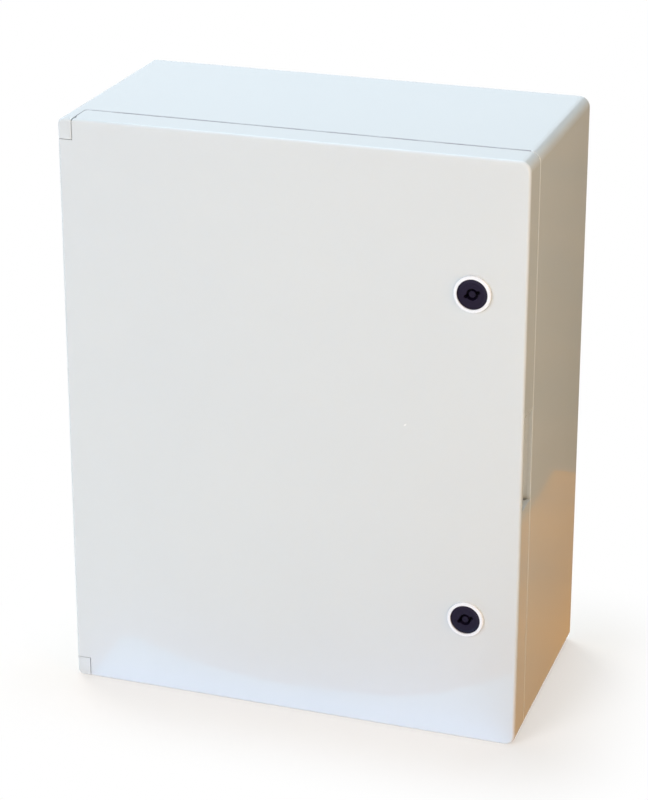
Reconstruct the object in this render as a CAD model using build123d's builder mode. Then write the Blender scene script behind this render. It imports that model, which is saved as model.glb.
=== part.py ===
from build123d import *
import math
import os

# Wall-mounted distribution cabinet: a moulded tub, a hinged door and two quarter-turn locks.
# Millimetres, +Z up, door towards -Y, origin under the middle of the cabinet.
# Every depth is measured back from the front face of the door.

# Overall size
WIDTH = 390.0
HEIGHT = 500.0
DEPTH = 200.0
CORNER_R = 9.0
HINGE_CORNER_R = 5.0
FRONT_EDGE_R = 2.5
BACK_EDGE_R = 2.5
SAME_PLACE = 0.01

# Door shell
DOOR_DEPTH = 29.2
DOOR_PLATE = 3.5
SKIRT = 3.0
SEAM_GAP = 1.2
DOOR_REAR_R = 0.6
STIFFENER_H = 5.0
STIFFENER_PITCH = 90.0
STIFFENER_COUNT = 3

# Body shell, with a rain gutter and a collar round its mouth
WALL = 3.5
BACK_WALL = 4.0
RIM_EDGE_R = 0.8
GUTTER_DEPTH = 4.6
FLANGE_T = 3.0
COLLAR_INSET = 24.5
COLLAR_T = 2.5
COLLAR_CORNER_R = 12.0

# Seal between the door and the tip of the collar
GASKET_T = 5.1
GASKET_EDGE_R = 1.5
GASKET_SIDE_GAP = 0.2
SEAL_GAP = 0.3
CHANNEL_CLEAR = 2.6
CHANNEL_RIB_H = 8.0
RIB_T = 1.8

# Hinge: lugs of the body, pins, and knuckles of the door
LUG_W = 12.0
LUG_H = 17.0
LUG_GAP = 0.5
LUG_ROOT_R = 4.0
HINGE_INSET = 6.0
HINGE_SETBACK = 5.0
SWING_GAP = 0.6
LUG_SWING_GAP = 0.4
PIN_D = 5.0
PIN_SEAT = 12.0
PIN_ENGAGE = 20.0
PIN_CHAMFER = 0.6
PIN_PRESS_GAP = 0.01
PIN_RUN_GAP = 0.05
PIN_END_GAP = 0.5
KNUCKLE_R = 5.5
KNUCKLE_EDGE_R = 4.0

# Finger notch in the edge of the door that opens
NOTCH_LENGTH = 80.0
NOTCH_CORNER_R = 1.0
POCKET_REACH = 14.0
POCKET_DEPTH = 26.0

# Quarter-turn locks
LOCK_INSET = 43.5
LOCK_PITCH = 280.0
LOCK_PROUD = 2.5
RING_D = 30.4
RING_EDGE_R = 0.9
BARREL_D = 22.0
BARREL_FLATS = 20.0
BARREL_LENGTH = 20.0
BARREL_GAP = 0.2
LOCK_BOSS_D = 27.0
HEAD_D = 24.8
HEAD_T = 1.2
HEAD_SUNK = 0.3
HEAD_BEVEL_W = 2.6
HEAD_BEVEL_T = 0.7
ROTOR_D = 16.8
SHAFT_D = 12.0
TURN_GAP = 0.1
KEY_TILT = 22.0
KEY_HOLE_D = 9.8
KEY_PIN_D = 5.2
KEY_PIN_SUNK = 0.8
KEY_SPAN = 14.0
KEY_SLOT_W = 3.2
KEY_DEPTH = 9.0
LOCK_SEAL_WALL = 0.7
LOCK_SEAL_W = 1.1
LOCK_SEAL_T = 0.9
LOCK_SEAL_GAP = 0.1
NUT_FLATS = 27.0
NUT_T = 5.0
NUT_GAP = 0.05
TURN_BACK = 22.0
TURN_ON = 68.0
STOP_PIN_D = 2.5
STOP_PIN_LENGTH = 6.4
STOP_PIN_SHORT = 0.5
STOP_PIN_SINK = 0.4
STOP_GAP = 0.4
SQUARE = 8.4
SQUARE_GAP = 0.05
CAM_GAP = 0.6
CAM_T = 3.0
CAM_HUB_R = 9.0
CAM_TIP_R = 6.0
CAM_REACH = 20.0
CAM_SCREW_D = 5.0
CAM_SCREW_LENGTH = 12.0
CAM_SCREW_FLATS = 8.0
CAM_SCREW_HEAD_T = 3.5
CAM_WASHER_D = 14.0
CAM_WASHER_T = 1.2
THREAD_GAP = 0.05

# Mounting plate, its fixings and the wall holes
PLATE_W = 296.0
PLATE_H = 440.0
PLATE_T = 2.0
PLATE_CORNER_R = 4.0
PLATE_HOLE_INSET = 14.0
PLATE_HOLE_GAP = 0.4
BOSS_D = 17.0
BOSS_H = 12.0
INSERT_D = 9.0
INSERT_LENGTH = 11.0
INSERT_GAP = 0.02
SCREW_D = 6.0
SCREW_LENGTH = 11.0
SCREW_FLATS = 10.0
SCREW_HEAD_T = 4.5
SCREW_FLANGE_D = 13.0
SCREW_FLANGE_T = 1.4
WALL_HOLE_D = 7.0
WALL_HOLE_W = 322.0
WALL_HOLE_H = 424.0
WALL_PAD_D = 18.0
WALL_PAD_T = 3.0

# Depths behind the front face
FRONT_Y = -(DEPTH - LOCK_PROUD) / 2
RIM = DOOR_DEPTH + SEAM_GAP
GUTTER_FLOOR = RIM + GUTTER_DEPTH
FLANGE_BACK = GUTTER_FLOOR + FLANGE_T
BACK_INSIDE = DEPTH - BACK_WALL
SEAL_FACE = DOOR_PLATE + GASKET_T
COLLAR_TIP = SEAL_FACE + SEAL_GAP
CHANNEL_TOP = DOOR_PLATE + CHANNEL_RIB_H
PLATE_BACK = BACK_INSIDE - BOSS_H
PLATE_FRONT = PLATE_BACK - PLATE_T
CAM_FRONT = FLANGE_BACK + CAM_GAP
CAM_BACK = CAM_FRONT + CAM_T
WASHER_BACK = CAM_BACK + CAM_WASHER_T
HEAD_FRONT = HEAD_SUNK - LOCK_PROUD
HEAD_BACK = HEAD_FRONT + HEAD_T
STOP_DEPTH = BARREL_LENGTH - STOP_PIN_D / 2 - STOP_PIN_SINK

# Hinge line, and the room that the swinging door needs around it
LEFT_X = -WIDTH / 2
RIGHT_X = WIDTH / 2
HINGE_X = LEFT_X + HINGE_INSET
HINGE_Y = FRONT_Y + HINGE_SETBACK
SKIRT_SWING = math.hypot(HINGE_INSET, DOOR_DEPTH - HINGE_SETBACK) + SWING_GAP
LUG_SWING = math.hypot(LUG_W - HINGE_INSET, HINGE_SETBACK) + LUG_SWING_GAP
COLLAR_HINGE_INSET = HINGE_INSET + SKIRT_SWING
NOTCH_W = LUG_W + LUG_GAP
NOTCH_H = LUG_H + LUG_GAP
NOTCH_WALL_W = HINGE_INSET + LUG_SWING + SKIRT
NOTCH_WALL_H = NOTCH_H + SKIRT
KNUCKLE_LENGTH = PIN_ENGAGE + PIN_END_GAP + SKIRT

# Insides of the gasket channel, from the collar's outer face
CHANNEL_OUTSIDE = -CHANNEL_CLEAR
CHANNEL_INSIDE = COLLAR_T + CHANNEL_CLEAR

# Lock axis, and the angles of the cam and of the stop pin as seen from the front
LOCK_X = RIGHT_X - LOCK_INSET
CAM_TILT = KEY_TILT - 90.0
STOP_TILT = KEY_TILT + 90.0

# The two ends of the cabinet: name, level and direction inwards
ENDS = (("upper", HEIGHT, -1), ("lower", 0.0, 1))

os.makedirs("parts", exist_ok=True)


def front_plane(depth):
    """Plane at a depth behind the front face, looking out of the front, local axes X and Z."""
    return Plane.XZ.offset(-(FRONT_Y + depth))


def lock_plane(level, depth):
    """Plane square to a lock's axis, at a depth behind the front face."""
    return Plane(origin=(LOCK_X, FRONT_Y + depth, level), x_dir=(1, 0, 0), z_dir=(0, -1, 0))


def outline(inset=0.0):
    """Front outline of the cabinet, set in all round."""
    with Locations((0, HEIGHT / 2)):
        Rectangle(WIDTH - 2 * inset, HEIGHT - 2 * inset)
    fillet(vertices().group_by(Axis.X)[0], HINGE_CORNER_R - inset)
    fillet(vertices().group_by(Axis.X)[-1], CORNER_R - inset)


def hinge_corner(width, height, level, inwards):
    """Corner of the outline on the hinge side, at one end of the cabinet."""
    outline()
    with Locations((LEFT_X + width / 2, level + inwards * height / 2)):
        Rectangle(width, height, mode=Mode.INTERSECT)


def collar_outline(offset, mode=Mode.ADD):
    """Outline of the collar's outer face, moved inwards by an offset."""
    left = COLLAR_HINGE_INSET + offset
    right = COLLAR_INSET + offset
    radius = COLLAR_CORNER_R - offset
    with Locations(((left - right) / 2, HEIGHT / 2)):
        RectangleRounded(WIDTH - left - right, HEIGHT - 2 * right, radius, mode=mode)


def barrel_outline(gap=0.0):
    """Round lock barrel with two flats, grown by a gap."""
    Circle(BARREL_D / 2 + gap)
    Rectangle(BARREL_D * 2, BARREL_FLATS + 2 * gap, mode=Mode.INTERSECT)


def hexagon(flats):
    """Hexagon with two flats facing sideways."""
    RegularPolygon(flats / 2, 6, major_radius=False, rotation=30)


def corner_points(width, height):
    """Places of four fixings round the middle of the back wall."""
    return [
        (x * width / 2, HEIGHT / 2 + z * height / 2)
        for x in (-1, 1)
        for z in (-1, 1)
    ]


def on_outline(edge):
    """True for an edge that runs along the outer outline of the cabinet."""
    middle = edge @ 0.5
    band = CORNER_R * (1 - math.sqrt(0.5)) + SAME_PLACE
    beside = abs(abs(middle.X) - WIDTH / 2) < band
    above = abs(abs(middle.Z - HEIGHT / 2) - HEIGHT / 2) < band
    return beside or above


def edges_at(axis, level):
    """Edges of the part in hand that lie in one plane across an axis."""
    return edges().filter_by_position(axis, level - SAME_PLACE, level + SAME_PLACE)


plate_points = corner_points(PLATE_W - 2 * PLATE_HOLE_INSET, PLATE_H - 2 * PLATE_HOLE_INSET)
wall_points = corner_points(WALL_HOLE_W, WALL_HOLE_H)

# Moulded body: tub, rain gutter, collar round the mouth, and the two hinge lugs
with BuildPart() as enclosure_body:
    with BuildSketch(front_plane(RIM)):
        outline()
    extrude(amount=RIM - DEPTH)
    fillet(edges_at(Axis.Y, FRONT_Y + DEPTH), BACK_EDGE_R)
    with BuildSketch(front_plane(RIM)):
        outline(WALL)
    extrude(amount=-GUTTER_DEPTH, mode=Mode.SUBTRACT)
    with BuildSketch(front_plane(FLANGE_BACK)):
        outline(WALL)
    extrude(amount=FLANGE_BACK - BACK_INSIDE, mode=Mode.SUBTRACT)
    with BuildSketch(front_plane(COLLAR_TIP)):
        collar_outline(0)
    extrude(amount=COLLAR_TIP - FLANGE_BACK)
    with BuildSketch(front_plane(COLLAR_TIP)):
        collar_outline(COLLAR_T)
    extrude(amount=COLLAR_TIP - FLANGE_BACK, mode=Mode.SUBTRACT)
    for end, level, inwards in ENDS:
        with BuildSketch(front_plane(0)):
            hinge_corner(LUG_W, LUG_H, level, inwards)
        extrude(amount=-GUTTER_FLOOR)
    lug_sides = edges_at(Axis.X, LEFT_X + LUG_W).filter_by(Axis.Z)
    fillet(lug_sides & edges_at(Axis.Y, FRONT_Y + RIM), LUG_ROOT_R)
    fillet(edges_at(Axis.Y, FRONT_Y).filter_by(on_outline), FRONT_EDGE_R)
    rim_edges = edges_at(Axis.Y, FRONT_Y + RIM).filter_by(on_outline)
    fillet(rim_edges.filter_by_position(Axis.X, LEFT_X + LUG_W, RIGHT_X), RIM_EDGE_R)
    for end, level, inwards in ENDS:
        with Locations((HINGE_X, HINGE_Y, level + inwards * (LUG_H - PIN_SEAT / 2))):
            Cylinder(PIN_D / 2 + PIN_PRESS_GAP, PIN_SEAT, mode=Mode.SUBTRACT)
    with BuildSketch(front_plane(BACK_INSIDE)):
        with Locations(*plate_points):
            Circle(BOSS_D / 2)
    extrude(amount=BOSS_H)
    with BuildSketch(front_plane(BACK_INSIDE)):
        with Locations(*wall_points):
            Circle(WALL_PAD_D / 2)
    extrude(amount=WALL_PAD_T)
    with BuildSketch(front_plane(PLATE_BACK)):
        with Locations(*plate_points):
            Circle(INSERT_D / 2 + INSERT_GAP)
    extrude(amount=-INSERT_LENGTH, mode=Mode.SUBTRACT)
    with BuildSketch(front_plane(BACK_INSIDE - WALL_PAD_T)):
        with Locations(*wall_points):
            Circle(WALL_HOLE_D / 2)
    extrude(amount=-(WALL_PAD_T + BACK_WALL), mode=Mode.SUBTRACT)
enclosure_body.part.label = "enclosure_body"
export_step(enclosure_body.part, "parts/enclosure_body.step")

# Moulded door: shell, hinge corners, gasket channel, finger notch and lock bosses
with BuildPart() as door:
    with BuildSketch(front_plane(0)):
        outline()
    extrude(amount=-DOOR_DEPTH)
    fillet(edges_at(Axis.Y, FRONT_Y), FRONT_EDGE_R)
    fillet(edges_at(Axis.Y, FRONT_Y + DOOR_DEPTH), DOOR_REAR_R)
    with BuildSketch(front_plane(DOOR_PLATE)):
        outline(SKIRT)
    extrude(amount=DOOR_PLATE - DOOR_DEPTH, mode=Mode.SUBTRACT)
    for end, level, inwards in ENDS:
        # Walls round the lug, and the knuckle that the pin runs in
        with BuildSketch(front_plane(DOOR_PLATE)):
            hinge_corner(NOTCH_WALL_W, NOTCH_WALL_H, level, inwards)
        extrude(amount=DOOR_PLATE - DOOR_DEPTH)
        across = HINGE_INSET + KNUCKLE_R - SKIRT / 2
        along = HINGE_SETBACK + KNUCKLE_R - DOOR_PLATE / 2
        with BuildSketch(Plane.XY.offset(level + inwards * NOTCH_H)):
            with Locations((HINGE_X + KNUCKLE_R - across / 2, HINGE_Y + KNUCKLE_R - along / 2)):
                Rectangle(across, along)
            fillet(vertices().group_by(Axis.X)[-1].sort_by(Axis.Y)[-1], KNUCKLE_EDGE_R)
        extrude(amount=inwards * KNUCKLE_LENGTH)
        # Room for the lug, at rest and as the door swings round it
        with BuildSketch(front_plane(0)):
            with Locations((LEFT_X + NOTCH_W / 2, level + inwards * NOTCH_H / 2)):
                Rectangle(NOTCH_W, NOTCH_H)
        extrude(amount=-DOOR_DEPTH, mode=Mode.SUBTRACT)
        with BuildSketch(Plane.XY.offset(level)):
            with Locations((HINGE_X, HINGE_Y)):
                Circle(LUG_SWING)
        extrude(amount=inwards * NOTCH_H, mode=Mode.SUBTRACT)
        with BuildSketch(Plane.XY.offset(level + inwards * NOTCH_H)):
            with Locations((HINGE_X, HINGE_Y)):
                Circle(PIN_D / 2 + PIN_RUN_GAP)
        extrude(amount=inwards * (PIN_ENGAGE + PIN_END_GAP), mode=Mode.SUBTRACT)
    lug_corners = edges_at(Axis.X, LEFT_X + NOTCH_W).filter_by(Axis.Z)
    fillet(lug_corners & edges_at(Axis.Y, FRONT_Y + DOOR_DEPTH), LUG_ROOT_R + LUG_GAP)
    with BuildSketch(front_plane(DOOR_PLATE)):
        collar_outline(CHANNEL_OUTSIDE - RIB_T)
        collar_outline(CHANNEL_OUTSIDE, mode=Mode.SUBTRACT)
    extrude(amount=-CHANNEL_RIB_H)
    with BuildSketch(front_plane(DOOR_PLATE)):
        collar_outline(CHANNEL_INSIDE)
        collar_outline(CHANNEL_INSIDE + RIB_T, mode=Mode.SUBTRACT)
    extrude(amount=-CHANNEL_RIB_H)
    # Stiffening ribs from one side of the channel to the other
    rib_left = LEFT_X + COLLAR_HINGE_INSET + CHANNEL_INSIDE
    rib_right = RIGHT_X - COLLAR_INSET - CHANNEL_INSIDE
    with BuildSketch(front_plane(DOOR_PLATE)):
        with Locations(((rib_left + rib_right) / 2, HEIGHT / 2)):
            with GridLocations(0, STIFFENER_PITCH, 1, STIFFENER_COUNT):
                Rectangle(rib_right - rib_left, RIB_T)
    extrude(amount=-STIFFENER_H)
    # Finger notch through the skirt, with a pocket behind it
    with BuildSketch(Plane.YZ.offset(RIGHT_X)):
        with Locations((FRONT_Y + DOOR_PLATE, HEIGHT / 2)):
            Rectangle(DOOR_DEPTH, NOTCH_LENGTH, align=(Align.MIN, Align.CENTER))
        fillet(vertices().group_by(Axis.X)[0], NOTCH_CORNER_R)
    extrude(amount=-SKIRT, mode=Mode.SUBTRACT)
    reach = POCKET_REACH - SKIRT
    from_right = (Align.MAX, Align.CENTER)
    with BuildSketch(front_plane(DOOR_PLATE)):
        with Locations((RIGHT_X - SKIRT, HEIGHT / 2)):
            Rectangle(reach + RIB_T, NOTCH_LENGTH + 2 * RIB_T, align=from_right)
            Rectangle(reach, NOTCH_LENGTH, align=from_right, mode=Mode.SUBTRACT)
    extrude(amount=DOOR_PLATE - POCKET_DEPTH)
    for end, level, inwards in ENDS:
        lock_z = HEIGHT / 2 - inwards * LOCK_PITCH / 2
        with BuildSketch(lock_plane(lock_z, DOOR_PLATE)):
            Circle(LOCK_BOSS_D / 2)
        extrude(amount=-CHANNEL_RIB_H)
        with BuildSketch(lock_plane(lock_z, 0)):
            barrel_outline(BARREL_GAP)
        extrude(amount=-CHANNEL_TOP, mode=Mode.SUBTRACT)
door.part.label = "door"
export_step(door.part, "parts/door.step")

# Foam seal in the channel of the door
with BuildPart() as door_gasket:
    with BuildSketch(front_plane(DOOR_PLATE)):
        collar_outline(CHANNEL_OUTSIDE + GASKET_SIDE_GAP)
        collar_outline(CHANNEL_INSIDE - GASKET_SIDE_GAP, mode=Mode.SUBTRACT)
    extrude(amount=-GASKET_T)
    fillet(edges_at(Axis.Y, FRONT_Y + SEAL_FACE), GASKET_EDGE_R)
door_gasket.part.label = "door_gasket"
export_step(door_gasket.part, "parts/door_gasket.step")

for end, level, inwards in ENDS:
    # Hinge pin, pressed into the lug
    with BuildPart() as hinge_pin:
        with BuildSketch(Plane.XY.offset(level + inwards * (LUG_H - PIN_SEAT))):
            with Locations((HINGE_X, HINGE_Y)):
                Circle(PIN_D / 2)
        extrude(amount=inwards * (PIN_SEAT + LUG_GAP + PIN_ENGAGE))
        chamfer(edges().filter_by(GeomType.CIRCLE), PIN_CHAMFER)
    hinge_pin.part.label = f"{end}_hinge_pin"
    export_step(hinge_pin.part, f"parts/{end}_hinge_pin.step")

for end, level, inwards in ENDS:
    lock_z = HEIGHT / 2 - inwards * LOCK_PITCH / 2
    stop_plane = Plane(
        origin=(LOCK_X, FRONT_Y + STOP_DEPTH, lock_z),
        z_dir=(math.cos(math.radians(STOP_TILT)), 0, math.sin(math.radians(STOP_TILT))),
    )
    seal_inner = HEAD_D / 2 + TURN_GAP + LOCK_SEAL_WALL + LOCK_SEAL_GAP
    seal_outer = seal_inner + LOCK_SEAL_W

    # Ring and barrel of the lock, clamped to the door
    with BuildPart() as lock_housing:
        with BuildSketch(lock_plane(lock_z, 0)):
            Circle(RING_D / 2)
        extrude(amount=LOCK_PROUD)
        fillet(edges_at(Axis.Y, FRONT_Y - LOCK_PROUD), RING_EDGE_R)
        with BuildSketch(lock_plane(lock_z, 0)):
            barrel_outline()
        extrude(amount=-BARREL_LENGTH)
        with BuildSketch(lock_plane(lock_z, -LOCK_PROUD)):
            Circle(HEAD_D / 2 + TURN_GAP)
        extrude(amount=-(HEAD_SUNK + HEAD_T + TURN_GAP), mode=Mode.SUBTRACT)
        with BuildSketch(lock_plane(lock_z, -LOCK_PROUD)):
            Circle(ROTOR_D / 2 + TURN_GAP)
        extrude(amount=-(LOCK_PROUD + BARREL_LENGTH), mode=Mode.SUBTRACT)
        with BuildSketch(lock_plane(lock_z, 0)):
            Circle(seal_outer + LOCK_SEAL_GAP)
            Circle(seal_inner - LOCK_SEAL_GAP, mode=Mode.SUBTRACT)
        extrude(amount=LOCK_SEAL_T, mode=Mode.SUBTRACT)
        # Slot in the end of the barrel that limits the stop pin to a quarter turn
        slack = math.degrees(math.asin((STOP_PIN_D / 2 + STOP_GAP) / (ROTOR_D / 2)))
        first = STOP_TILT - TURN_BACK - slack
        sweep = TURN_BACK + TURN_ON + 2 * slack
        with BuildSketch(lock_plane(lock_z, BARREL_LENGTH)):
            with BuildLine():
                arc = CenterArc((0, 0), BARREL_D, first, sweep)
                Line((0, 0), arc @ 0)
                Line((0, 0), arc @ 1)
            make_face()
        extrude(amount=STOP_PIN_D + STOP_PIN_SINK + STOP_GAP, mode=Mode.SUBTRACT)
    lock_housing.part.label = f"{end}_lock_housing"
    export_step(lock_housing.part, f"parts/{end}_lock_housing.step")

    # Flat seal under the ring
    with BuildPart() as lock_seal:
        with BuildSketch(lock_plane(lock_z, 0)):
            Circle(seal_outer)
            Circle(seal_inner, mode=Mode.SUBTRACT)
        extrude(amount=LOCK_SEAL_T)
    lock_seal.part.label = f"{end}_lock_seal"
    export_step(lock_seal.part, f"parts/{end}_lock_seal.step")

    # Nut that holds the barrel, on the boss of the door
    with BuildPart() as lock_nut:
        with BuildSketch(lock_plane(lock_z, CHANNEL_TOP)):
            hexagon(NUT_FLATS)
            Circle(BARREL_D / 2 + NUT_GAP, mode=Mode.SUBTRACT)
        extrude(amount=-NUT_T)
    lock_nut.part.label = f"{end}_lock_nut"
    export_step(lock_nut.part, f"parts/{end}_lock_nut.step")

    # Core: head with the key recess, rotor, shaft and the square that carries the cam
    with BuildPart() as lock_core:
        with BuildSketch(lock_plane(lock_z, HEAD_BACK)):
            Circle(HEAD_D / 2)
        extrude(amount=HEAD_T)
        head_face = faces().sort_by(Axis.Y)[0]
        chamfer(head_face.edges(), HEAD_BEVEL_W, HEAD_BEVEL_T, reference=head_face)
        with BuildSketch(lock_plane(lock_z, HEAD_BACK)):
            Circle(ROTOR_D / 2)
        extrude(amount=HEAD_BACK - BARREL_LENGTH)
        with BuildSketch(lock_plane(lock_z, BARREL_LENGTH)):
            Circle(SHAFT_D / 2)
        extrude(amount=BARREL_LENGTH - CAM_FRONT)
        with BuildSketch(lock_plane(lock_z, CAM_FRONT)):
            Rectangle(SQUARE, SQUARE, rotation=CAM_TILT)
        extrude(amount=-CAM_T + SQUARE_GAP)
        with BuildSketch(lock_plane(lock_z, HEAD_FRONT)):
            Circle(KEY_HOLE_D / 2)
            SlotOverall(KEY_SPAN, KEY_SLOT_W, rotation=KEY_TILT)
            Circle(KEY_PIN_D / 2, mode=Mode.SUBTRACT)
        extrude(amount=-KEY_DEPTH, mode=Mode.SUBTRACT)
        with BuildSketch(lock_plane(lock_z, HEAD_FRONT)):
            Circle(KEY_HOLE_D / 2)
        extrude(amount=-KEY_PIN_SUNK, mode=Mode.SUBTRACT)
        with BuildSketch(lock_plane(lock_z, CAM_BACK)):
            Circle(CAM_SCREW_D / 2 + THREAD_GAP)
        extrude(amount=CAM_SCREW_LENGTH, mode=Mode.SUBTRACT)
        with BuildSketch(stop_plane):
            Circle(STOP_PIN_D / 2 + PIN_PRESS_GAP)
        extrude(amount=ROTOR_D, mode=Mode.SUBTRACT)
    lock_core.part.label = f"{end}_lock_core"
    export_step(lock_core.part, f"parts/{end}_lock_core.step")

    # Stop pin, pressed into the side of the core
    with BuildPart() as stop_pin:
        with BuildSketch(stop_plane.offset(BARREL_FLATS / 2 - STOP_PIN_SHORT - STOP_PIN_LENGTH)):
            Circle(STOP_PIN_D / 2)
        extrude(amount=STOP_PIN_LENGTH)
    stop_pin.part.label = f"{end}_stop_pin"
    export_step(stop_pin.part, f"parts/{end}_stop_pin.step")

    # Cam that swings behind the rim of the body
    square_hole = SQUARE + 2 * SQUARE_GAP
    with BuildPart() as lock_cam:
        with BuildSketch(lock_plane(lock_z, CAM_FRONT)):
            Circle(CAM_HUB_R)
            with PolarLocations(CAM_REACH, 1, start_angle=CAM_TILT):
                Circle(CAM_TIP_R)
            make_hull()
            Rectangle(square_hole, square_hole, rotation=CAM_TILT, mode=Mode.SUBTRACT)
        extrude(amount=-CAM_T)
    lock_cam.part.label = f"{end}_lock_cam"
    export_step(lock_cam.part, f"parts/{end}_lock_cam.step")

    # Washer and screw that hold the cam
    with BuildPart() as cam_washer:
        with BuildSketch(lock_plane(lock_z, CAM_BACK)):
            Circle(CAM_WASHER_D / 2)
            Circle(CAM_SCREW_D / 2 + THREAD_GAP, mode=Mode.SUBTRACT)
        extrude(amount=-CAM_WASHER_T)
    cam_washer.part.label = f"{end}_cam_washer"
    export_step(cam_washer.part, f"parts/{end}_cam_washer.step")

    with BuildPart() as cam_screw:
        with BuildSketch(lock_plane(lock_z, WASHER_BACK)):
            hexagon(CAM_SCREW_FLATS)
        extrude(amount=-CAM_SCREW_HEAD_T)
        with BuildSketch(lock_plane(lock_z, WASHER_BACK)):
            Circle(CAM_SCREW_D / 2)
        extrude(amount=CAM_SCREW_LENGTH)
    cam_screw.part.label = f"{end}_cam_screw"
    export_step(cam_screw.part, f"parts/{end}_cam_screw.step")

# Steel plate that carries the devices, on the bosses of the back wall
with BuildPart() as mounting_plate:
    with BuildSketch(front_plane(PLATE_BACK)):
        with Locations((0, HEIGHT / 2)):
            RectangleRounded(PLATE_W, PLATE_H, PLATE_CORNER_R)
        with Locations(*plate_points):
            Circle(SCREW_D / 2 + PLATE_HOLE_GAP, mode=Mode.SUBTRACT)
    extrude(amount=PLATE_T)
mounting_plate.part.label = "mounting_plate"
export_step(mounting_plate.part, "parts/mounting_plate.step")

# Threaded inserts, flush with the bosses
with BuildPart() as threaded_inserts:
    with BuildSketch(front_plane(PLATE_BACK)):
        with Locations(*plate_points):
            Circle(INSERT_D / 2)
            Circle(SCREW_D / 2 + THREAD_GAP, mode=Mode.SUBTRACT)
    extrude(amount=-INSERT_LENGTH)
threaded_inserts.part.label = "threaded_inserts"
export_step(threaded_inserts.part, "parts/threaded_inserts.step")

# Hexagon screws with a flange, through the plate into the inserts
with BuildPart() as plate_screws:
    with BuildSketch(front_plane(PLATE_FRONT)):
        with Locations(*plate_points):
            Circle(SCREW_FLANGE_D / 2)
    extrude(amount=SCREW_FLANGE_T)
    with BuildSketch(front_plane(PLATE_FRONT - SCREW_FLANGE_T)):
        with Locations(*plate_points):
            hexagon(SCREW_FLATS)
    extrude(amount=SCREW_HEAD_T)
    with BuildSketch(front_plane(PLATE_FRONT)):
        with Locations(*plate_points):
            Circle(SCREW_D / 2)
    extrude(amount=-SCREW_LENGTH)
plate_screws.part.label = "plate_screws"
export_step(plate_screws.part, "parts/plate_screws.step")
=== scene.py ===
"""Looks of a wall-mounted distribution cabinet: finishes, foam seal, fixings and stage.

The file is laid out as an add-on and run as a script. Lengths are metres in the part's own frame:
+Z up, the door towards -Y, the origin under the middle of the cabinet.
"""

import math

import bmesh
import bpy
import numpy as np
from bpy.props import FloatProperty, FloatVectorProperty, IntProperty, PointerProperty
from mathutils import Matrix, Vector


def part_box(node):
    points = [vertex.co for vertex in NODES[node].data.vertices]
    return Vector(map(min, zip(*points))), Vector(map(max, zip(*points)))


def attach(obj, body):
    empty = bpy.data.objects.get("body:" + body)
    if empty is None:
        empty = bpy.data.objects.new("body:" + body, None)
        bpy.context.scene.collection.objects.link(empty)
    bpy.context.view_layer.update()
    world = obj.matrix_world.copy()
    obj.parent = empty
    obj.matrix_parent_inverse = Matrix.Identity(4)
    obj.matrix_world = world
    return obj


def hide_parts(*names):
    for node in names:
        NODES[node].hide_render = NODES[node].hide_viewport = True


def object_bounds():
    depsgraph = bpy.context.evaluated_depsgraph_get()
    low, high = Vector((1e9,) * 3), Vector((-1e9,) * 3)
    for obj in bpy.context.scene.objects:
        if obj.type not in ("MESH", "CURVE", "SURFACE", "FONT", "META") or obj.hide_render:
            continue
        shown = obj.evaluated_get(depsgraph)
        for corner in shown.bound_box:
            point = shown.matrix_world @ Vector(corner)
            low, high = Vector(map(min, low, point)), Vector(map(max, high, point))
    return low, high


bl_info = {
    "name": "Distribution Cabinet Looks",
    "version": (1, 0, 0),
    "blender": (4, 5, 0),
    "location": "3D View > Sidebar > Cabinet",
    "description": "Finishes, foam seal, fixings and stage of a moulded distribution cabinet",
    "category": "Object",
}

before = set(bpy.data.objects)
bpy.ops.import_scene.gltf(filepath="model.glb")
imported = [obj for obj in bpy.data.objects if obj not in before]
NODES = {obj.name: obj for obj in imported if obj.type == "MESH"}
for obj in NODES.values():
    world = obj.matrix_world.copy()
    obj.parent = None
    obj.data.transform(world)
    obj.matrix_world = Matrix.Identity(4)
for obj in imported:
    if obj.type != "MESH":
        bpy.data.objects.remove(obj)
CAD_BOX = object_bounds()
MM = 0.001
ENDS = ("upper", "lower")

# Painted shade lines on the shells: the seam behind the door and the edge of the hinge lugs
SEAM_DEPTH = 29.8 * MM
LUG_WIDTH = 12.25 * MM
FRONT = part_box("door")[0].y
SEAM = FRONT + SEAM_DEPTH
LUG_EDGE = CAD_BOX[0].x + LUG_WIDTH

# Meshes: points closer than this become one, and edges that turn more than this stay sharp
MERGE = 0.001 * MM
SHARP = math.radians(28)

# Points on each rounded corner of the seal and of the notch land, and across the seal's dome
SEAL_CORNER_STEPS = 19
LAND_CORNER_STEPS = 7
DOME_STEPS = 21

# Edge of a screw's flange, from its upper side to its seat: outwards from its rim and up, in mm
FLANGE_LIP = ((-0.5, 0.8), (-0.15, 0.65), (0.0, 0.4), (0.0, 0.0))

WHITE = (1.0, 1.0, 1.0, 1.0)


# Settings

def linear(hex_colour):
    """Linear RGBA of an sRGB hex value, with each channel c from 0 to 1.

    It is c / 12.92 up to 0.04045, and ((c + 0.055) / 1.055) ^ 2.4 above that.
    """
    srgb = np.array([int(hex_colour[i:i + 2], 16) for i in (1, 3, 5)]) / 255
    rgb = np.where(srgb <= 0.04045, srgb / 12.92, ((srgb + 0.055) / 1.055) ** 2.4)
    return (*rgb.tolist(), 1.0)


def colour(name, hex_colour, description):
    """Colour property whose default is an sRGB hex value."""
    return FloatVectorProperty(name=name, description=description, subtype="COLOR", size=4,
                               min=0.0, max=1.0, default=linear(hex_colour))


def length(name, millimetres, description):
    """Length property whose default is given in millimetres."""
    return FloatProperty(name=name, description=description, unit="LENGTH", min=0.0,
                         default=millimetres * MM)


def angle(name, degrees, description):
    """Angle property whose default is given in degrees."""
    return FloatProperty(name=name, description=description, subtype="ANGLE", unit="ROTATION",
                         default=math.radians(degrees))


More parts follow.
